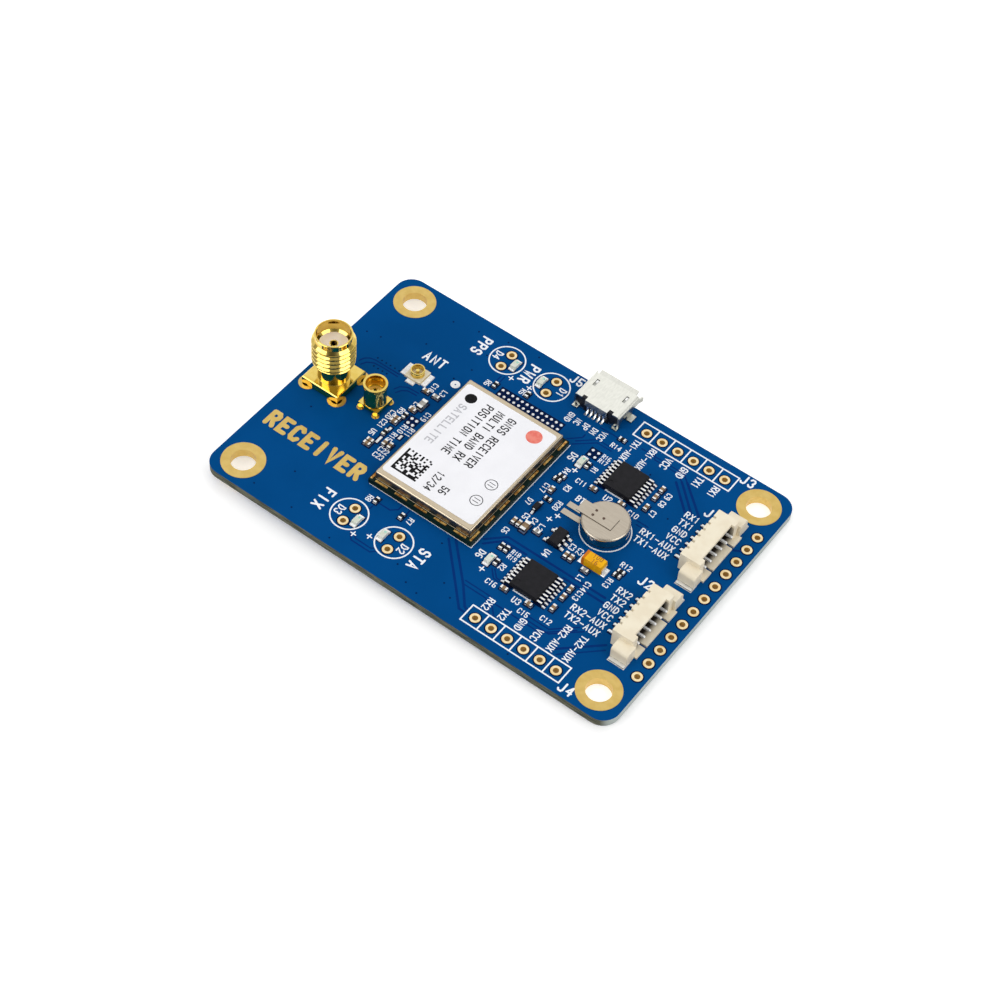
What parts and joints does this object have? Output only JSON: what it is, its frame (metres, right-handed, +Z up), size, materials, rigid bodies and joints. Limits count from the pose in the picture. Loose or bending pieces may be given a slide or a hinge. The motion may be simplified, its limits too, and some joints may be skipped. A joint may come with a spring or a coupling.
{
  "type": "gps module",
  "caption": "Blue satellite positioning receiver board with a shielded receiver module, vertical antenna jacks, micro USB socket, side-entry cable sockets and corner mounting holes.",
  "frame": {"origin": "centre of the mounting-hole pattern on the bottom face of the board", "axes": "+Z up out of the board, +X along the board towards the cable sockets, +Y towards the USB socket"},
  "size_m": [0.066, 0.0454, 0.0118],
  "materials": {
    "solder_mask": "glossy blue solder mask",
    "gold_land": "satin immersion gold",
    "gold_plate": "bright gold plating",
    "white_insulator": "white insulating plastic",
    "solder": "solder",
    "carrier_laminate": "dark green laminate",
    "shield_sheet": "satin nickel silver sheet",
    "label_paper": "white label",
    "chip_black": "black moulding compound",
    "lid_metal": "plated metal lid",
    "steel_shell": "tin plated steel",
    "black_plastic": "black plastic",
    "cream_plastic": "cream nylon",
    "tinned_metal": "tinned copper alloy",
    "cell_steel": "nickel plated steel",
    "tantalum_yellow": "yellow moulded resin",
    "capacitor_brown": "tan ceramic",
    "ferrite_grey": "grey ferrite",
    "lamp_white": "white lamp base",
    "lamp_clear": "clear resin"
  },
  "bodies": {
    "root": {"circuit_board": "solder_mask", "mounting_hole_lands": "gold_land", "upper_header_lands": "gold_land", "lower_header_lands": "gold_land", "edge_row_lands": "gold_land", "indicator_pair_lands": "gold_land", "jack_leg_lands": "gold_land", "sma_body": "gold_plate", "sma_insulator": "white_insulator", "sma_contact": "gold_plate", "mmcx_body": "gold_plate", "mmcx_insulator": "white_insulator", "mmcx_contact": "gold_plate", "leg_solder_joints": "solder", "coax_base": "white_insulator", "coax_shell": "gold_plate", "coax_pin": "gold_plate", "module_carrier": "carrier_laminate", "module_lands": "gold_land", "module_shield_can": "shield_sheet", "module_label": "label_paper", "module_receiver_chip": "chip_black", "module_oscillator": "lid_metal", "module_filters": "lid_metal", "module_memory_chip": "chip_black", "usb_shell": "steel_shell", "usb_insulator": "black_plastic", "usb_contacts": "gold_plate", "upper_socket_housing": "cream_plastic", "upper_socket_contacts": "tinned_metal", "upper_socket_tabs": "tinned_metal", "lower_socket_housing": "cream_plastic", "lower_socket_contacts": "tinned_metal", "lower_socket_tabs": "tinned_metal", "upper_shifter_body": "chip_black", "upper_shifter_leads": "tinned_metal", "lower_shifter_body": "chip_black", "lower_shifter_leads": "tinned_metal", "regulator_body": "chip_black", "regulator_leads": "tinned_metal", "diode_body": "chip_black", "diode_leads": "tinned_metal", "cell_can": "cell_steel", "cell_gasket": "black_plastic", "cell_cap": "cell_steel", "cell_top_tab": "cell_steel", "cell_bottom_tab": "cell_steel", "tantalum_body": "tantalum_yellow", "tantalum_terminals": "tinned_metal", "resistor_bodies": "chip_black", "resistor_caps": "tinned_metal", "capacitor_bodies": "capacitor_brown", "capacitor_caps": "tinned_metal", "inductor_bodies": "ferrite_grey", "inductor_caps": "tinned_metal", "lamp_bases": "lamp_white", "lamp_lenses": "lamp_clear", "lamp_terminals": "gold_land", "bare_pad_solder": "solder"}
  },
  "joints": []
}
